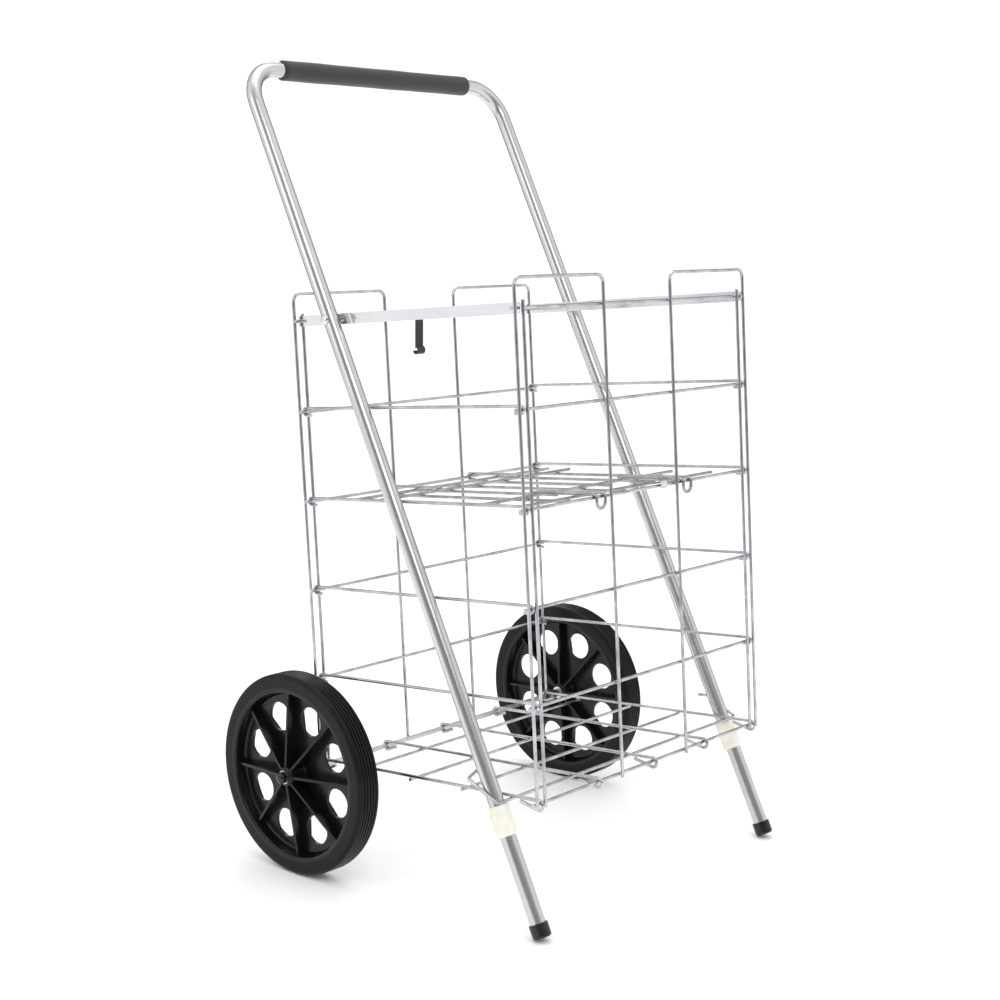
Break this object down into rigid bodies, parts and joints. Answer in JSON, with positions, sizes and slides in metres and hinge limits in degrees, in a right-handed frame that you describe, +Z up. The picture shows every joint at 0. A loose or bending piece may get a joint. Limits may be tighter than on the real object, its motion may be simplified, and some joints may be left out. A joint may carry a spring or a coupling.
{
  "type": "folding basket trolley",
  "caption": "Two-wheeled folding wire basket trolley with a leaning tube handle, foam grip, drop-in middle shelf and plastic feet.",
  "frame": {"origin": "middle of the ground that the standing trolley covers, on the floor plane", "axes": "+Z up, +X across the trolley to its right seen from the front, -Y to the front (feet and front panel), +Y to the back (handle)"},
  "size_m": [0.5926, 0.5072, 1.0057],
  "materials": {
    "basket_wire": "bright zinc plate",
    "shelf_wire": "bright zinc plate",
    "axle_steel": "bright zinc plate",
    "zinc_small_parts": "zinc plate",
    "rivet_steel": "polished",
    "bar_steel": "bright plate",
    "clip_steel": "polished",
    "tube_satin": "satin silver",
    "grip_foam": "foam, matt",
    "collar_plastic": "natural translucent",
    "foot_plastic": "satin",
    "strap_plastic": "satin",
    "cap_plastic": "satin",
    "wheel_plastic": "satin moulded",
    "tyre_rubber": "satin"
  },
  "bodies": {
    "back_frame": {"back_hoops": "basket_wire", "back_inner_posts": "basket_wire", "back_cross_wires": "basket_wire", "axle": "axle_steel", "axle_washers": "zinc_small_parts", "axle_sleeves": "zinc_small_parts", "axle_caps": "cap_plastic"},
    "left_wheel": {"wheel_left": "wheel_plastic", "tyre_left": "tyre_rubber"},
    "right_wheel": {"wheel_right": "wheel_plastic", "tyre_right": "tyre_rubber"},
    "bottom_shelf": {"shelf_long_wires": "basket_wire", "shelf_cross_wires": "basket_wire", "shelf_guide_wire": "basket_wire"},
    "front_panel": {"front_hoops": "basket_wire", "front_inner_posts": "basket_wire", "front_cross_wires": "basket_wire"},
    "left_top_bar": {"top_bar_left": "bar_steel", "frame_rivet_left": "rivet_steel", "frame_spacer_left": "rivet_steel"},
    "right_top_bar": {"top_bar_right": "bar_steel", "frame_rivet_right": "rivet_steel", "frame_spacer_right": "rivet_steel"},
    "tube_frame": {"handle_frame": "tube_satin", "handle_grip": "grip_foam", "leg_collar_left": "collar_plastic", "leg_collar_right": "collar_plastic", "foot_cap_left": "foot_plastic", "foot_cap_right": "foot_plastic"},
    "middle_shelf": {"mid_shelf_clip": "clip_steel", "mid_shelf_cross_wires": "shelf_wire", "mid_shelf_hinge_rods": "shelf_wire", "mid_shelf_hooks": "shelf_wire", "mid_shelf_long_wires": "shelf_wire"},
    "latch": {"strap_hook": "strap_plastic"},
    "left_side_wire_1": {"side_wire_left_1": "basket_wire"},
    "left_side_wire_2": {"side_wire_left_2": "basket_wire"},
    "left_side_wire_3": {"side_wire_left_3": "basket_wire"},
    "left_side_wire_4": {"side_wire_left_4": "basket_wire"},
    "right_side_wire_1": {"side_wire_right_1": "basket_wire"},
    "right_side_wire_2": {"side_wire_right_2": "basket_wire"},
    "right_side_wire_3": {"side_wire_right_3": "basket_wire"},
    "right_side_wire_4": {"side_wire_right_4": "basket_wire"}
  },
  "joints": [
    {"name": "shelf_fold", "type": "hinge", "parent": "back_frame", "child": "bottom_shelf", "pos_m": [0, 0.1251, 0.127], "axis": [-1, 0, 0], "range_deg": [0, 76]},
    {"name": "left_side_wire_1_hinge", "type": "hinge", "parent": "back_frame", "child": "left_side_wire_1", "pos_m": [-0.21425, 0.13211, 0.23848], "axis": [-1, 0, 0], "range_deg": [0, 76]},
    {"name": "left_side_wire_2_hinge", "type": "hinge", "parent": "back_frame", "child": "left_side_wire_2", "pos_m": [-0.21425, 0.13913, 0.34996], "axis": [-1, 0, 0], "range_deg": [0, 76]},
    {"name": "left_side_wire_3_hinge", "type": "hinge", "parent": "back_frame", "child": "left_side_wire_3", "pos_m": [-0.21425, 0.14614, 0.46144], "axis": [-1, 0, 0], "range_deg": [0, 76]},
    {"name": "left_side_wire_4_hinge", "type": "hinge", "parent": "back_frame", "child": "left_side_wire_4", "pos_m": [-0.21425, 0.15316, 0.57292], "axis": [-1, 0, 0], "range_deg": [0, 76]},
    {"name": "left_top_bar_hinge", "type": "hinge", "parent": "back_frame", "child": "left_top_bar", "pos_m": [-0.21425, 0.16017, 0.6844], "axis": [-1, 0, 0], "range_deg": [0, 76]},
    {"name": "right_side_wire_1_hinge", "type": "hinge", "parent": "back_frame", "child": "right_side_wire_1", "pos_m": [0.21425, 0.13211, 0.23848], "axis": [-1, 0, 0], "range_deg": [0, 76]},
    {"name": "right_side_wire_2_hinge", "type": "hinge", "parent": "back_frame", "child": "right_side_wire_2", "pos_m": [0.21425, 0.13913, 0.34996], "axis": [-1, 0, 0], "range_deg": [0, 76]},
    {"name": "right_side_wire_3_hinge", "type": "hinge", "parent": "back_frame", "child": "right_side_wire_3", "pos_m": [0.21425, 0.14614, 0.46144], "axis": [-1, 0, 0], "range_deg": [0, 76]},
    {"name": "right_side_wire_4_hinge", "type": "hinge", "parent": "back_frame", "child": "right_side_wire_4", "pos_m": [0.21425, 0.15316, 0.57292], "axis": [-1, 0, 0], "range_deg": [0, 76]},
    {"name": "right_top_bar_hinge", "type": "hinge", "parent": "back_frame", "child": "right_top_bar", "pos_m": [0.21425, 0.16017, 0.6844], "axis": [-1, 0, 0], "range_deg": [0, 76]},
    {"name": "front_panel_hinge", "type": "hinge", "parent": "bottom_shelf", "child": "front_panel", "pos_m": [0, -0.22689, 0.15415], "axis": [-1, 0, 0], "range_deg": [-76, 0]},
    {"name": "tube_frame_pivot", "type": "hinge", "parent": "left_top_bar", "child": "tube_frame", "pos_m": [-0.2275, 0.09167, 0.68968], "axis": [-1, 0, 0], "range_deg": [-91.1, 0]},
    {"name": "middle_shelf_swing", "type": "hinge", "parent": "left_side_wire_3", "child": "middle_shelf", "pos_m": [0, 0.14614, 0.46144], "axis": [1, 0, 0], "range_deg": [-80, 0]},
    {"name": "left_wheel_spin", "type": "hinge", "parent": "back_frame", "child": "left_wheel", "pos_m": [-0.261, 0.1251, 0.127], "axis": [1, 0, 0], "continuous": true},
    {"name": "right_wheel_spin", "type": "hinge", "parent": "back_frame", "child": "right_wheel", "pos_m": [0.261, 0.1251, 0.127], "axis": [1, 0, 0], "continuous": true},
    {"name": "latch_swing", "type": "hinge", "parent": "back_frame", "child": "latch", "pos_m": [-0.006, 0.16017, 0.6844], "axis": [-1, 0, 0], "range_deg": [-35, 60]}
  ],
  "couplings": [
    {"joint": "left_side_wire_1_hinge", "follows": "shelf_fold", "ratio": 1},
    {"joint": "left_side_wire_2_hinge", "follows": "shelf_fold", "ratio": 1},
    {"joint": "left_side_wire_3_hinge", "follows": "shelf_fold", "ratio": 1},
    {"joint": "left_side_wire_4_hinge", "follows": "shelf_fold", "ratio": 1},
    {"joint": "left_top_bar_hinge", "follows": "shelf_fold", "ratio": 1},
    {"joint": "right_side_wire_1_hinge", "follows": "shelf_fold", "ratio": 1},
    {"joint": "right_side_wire_2_hinge", "follows": "shelf_fold", "ratio": 1},
    {"joint": "right_side_wire_3_hinge", "follows": "shelf_fold", "ratio": 1},
    {"joint": "right_side_wire_4_hinge", "follows": "shelf_fold", "ratio": 1},
    {"joint": "right_top_bar_hinge", "follows": "shelf_fold", "ratio": 1},
    {"joint": "front_panel_hinge", "follows": "shelf_fold", "ratio": -1},
    {"joint": "tube_frame_pivot", "follows": "shelf_fold", "ratio": -1.1963}
  ]
}
